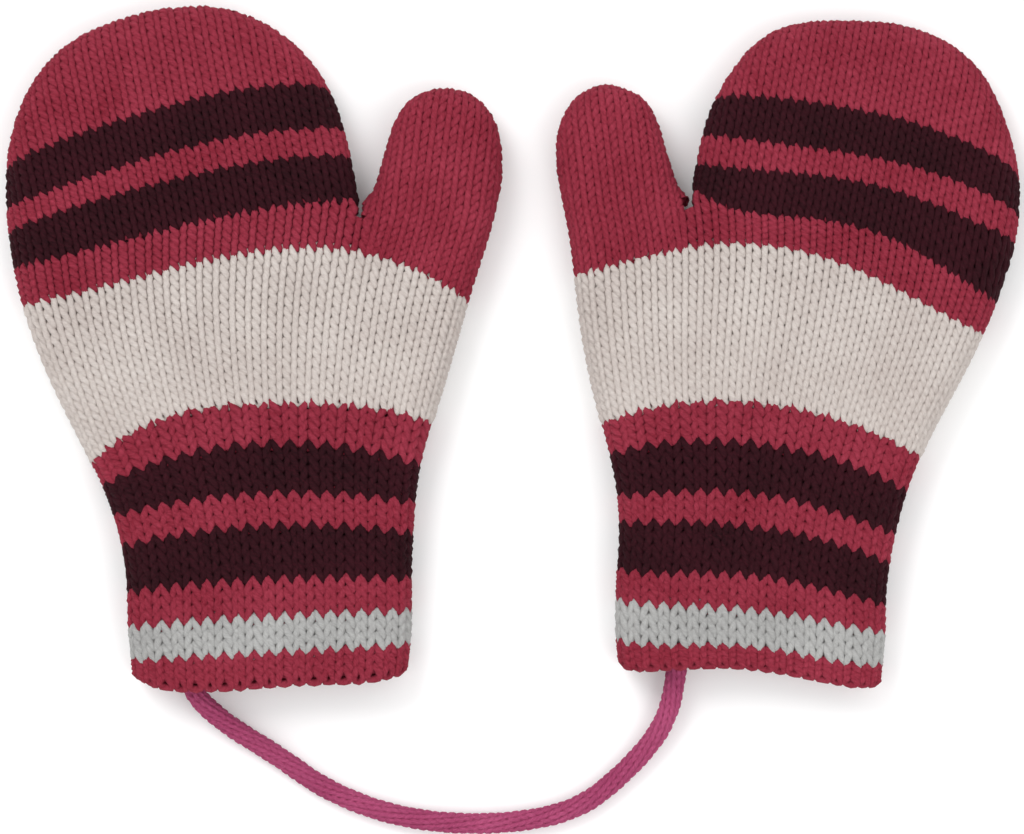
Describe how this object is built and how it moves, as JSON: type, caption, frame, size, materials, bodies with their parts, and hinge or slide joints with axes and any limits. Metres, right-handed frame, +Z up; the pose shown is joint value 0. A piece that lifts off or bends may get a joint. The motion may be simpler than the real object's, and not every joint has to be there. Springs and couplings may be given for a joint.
{
  "type": "pair of mittens",
  "caption": "Child's pair of striped knitted mittens with ribbed cuffs, rounded tips and separate thumbs, lying flat and joined cuff to cuff by a short knitted cord",
  "frame": {"origin": "middle of the two mittens' footprint, without the cord, on the surface that they lie on", "axes": "+X runs across the pair from the left mitten to the right one, +Y towards the fingertips, +Z up"},
  "size_m": [0.2086, 0.1706, 0.013],
  "materials": {
    "rose_wool": "knitted wool, matte",
    "maroon_wool": "knitted wool, matte and slightly fuzzy",
    "white_wool": "knitted wool, matte",
    "cord_wool": "knitted wool cord, matte",
    "tack_thread": "sewing thread"
  },
  "bodies": {
    "left_mitten": {"left_cuff_welt": "rose_wool", "left_cuff_white_stripe": "white_wool", "left_cuff_rose_stripe_low": "rose_wool", "left_cuff_maroon_stripe_low": "maroon_wool", "left_cuff_rose_stripe_high": "rose_wool", "left_cuff_maroon_stripe_high": "maroon_wool", "left_wrist_rose_stripe": "rose_wool", "left_palm_white_band": "white_wool", "left_hand_rose_band": "rose_wool", "left_hand_maroon_stripe_low": "maroon_wool", "left_hand_rose_stripe": "rose_wool", "left_hand_maroon_stripe_high": "maroon_wool", "left_fingertip_cap": "rose_wool", "left_cord_tack": "tack_thread"},
    "left_thumb": {"left_thumb": "rose_wool"},
    "right_mitten": {"right_cuff_welt": "rose_wool", "right_cuff_white_stripe": "white_wool", "right_cuff_rose_stripe_low": "rose_wool", "right_cuff_maroon_stripe_low": "maroon_wool", "right_cuff_rose_stripe_high": "rose_wool", "right_cuff_maroon_stripe_high": "maroon_wool", "right_wrist_rose_stripe": "rose_wool", "right_palm_white_band": "white_wool", "right_hand_rose_band": "rose_wool", "right_hand_maroon_stripe_low": "maroon_wool", "right_hand_rose_stripe": "rose_wool", "right_hand_maroon_stripe_high": "maroon_wool", "right_fingertip_cap": "rose_wool", "right_cord_tack": "tack_thread"},
    "right_thumb": {"right_thumb": "rose_wool"},
    "cord": {"mitten_cord": "cord_wool", "left_cord_knot": "cord_wool", "right_cord_knot": "cord_wool"}
  },
  "joints": [
    {"name": "left_thumb_fold", "type": "hinge", "parent": "left_mitten", "child": "left_thumb", "pos_m": [-0.0166, 0.0276, 0.0065], "axis": [0.9833, -0.1821, 0], "range_deg": [0, 40]},
    {"name": "left_cord_swing", "type": "hinge", "parent": "left_mitten", "child": "cord", "pos_m": [-0.0698, -0.0595, 0.0065], "axis": [0, 0, 1], "range_deg": [-25, 0]},
    {"name": "right_cord_swing", "type": "hinge", "parent": "cord", "child": "right_mitten", "pos_m": [0.0342, -0.0594, 0.0065], "axis": [0, 0, 1], "range_deg": [-30, 0]},
    {"name": "right_thumb_fold", "type": "hinge", "parent": "right_mitten", "child": "right_thumb", "pos_m": [0.0223, 0.02855, 0.0065], "axis": [0.9692, 0.2461, 0], "range_deg": [0, 40]}
  ]
}
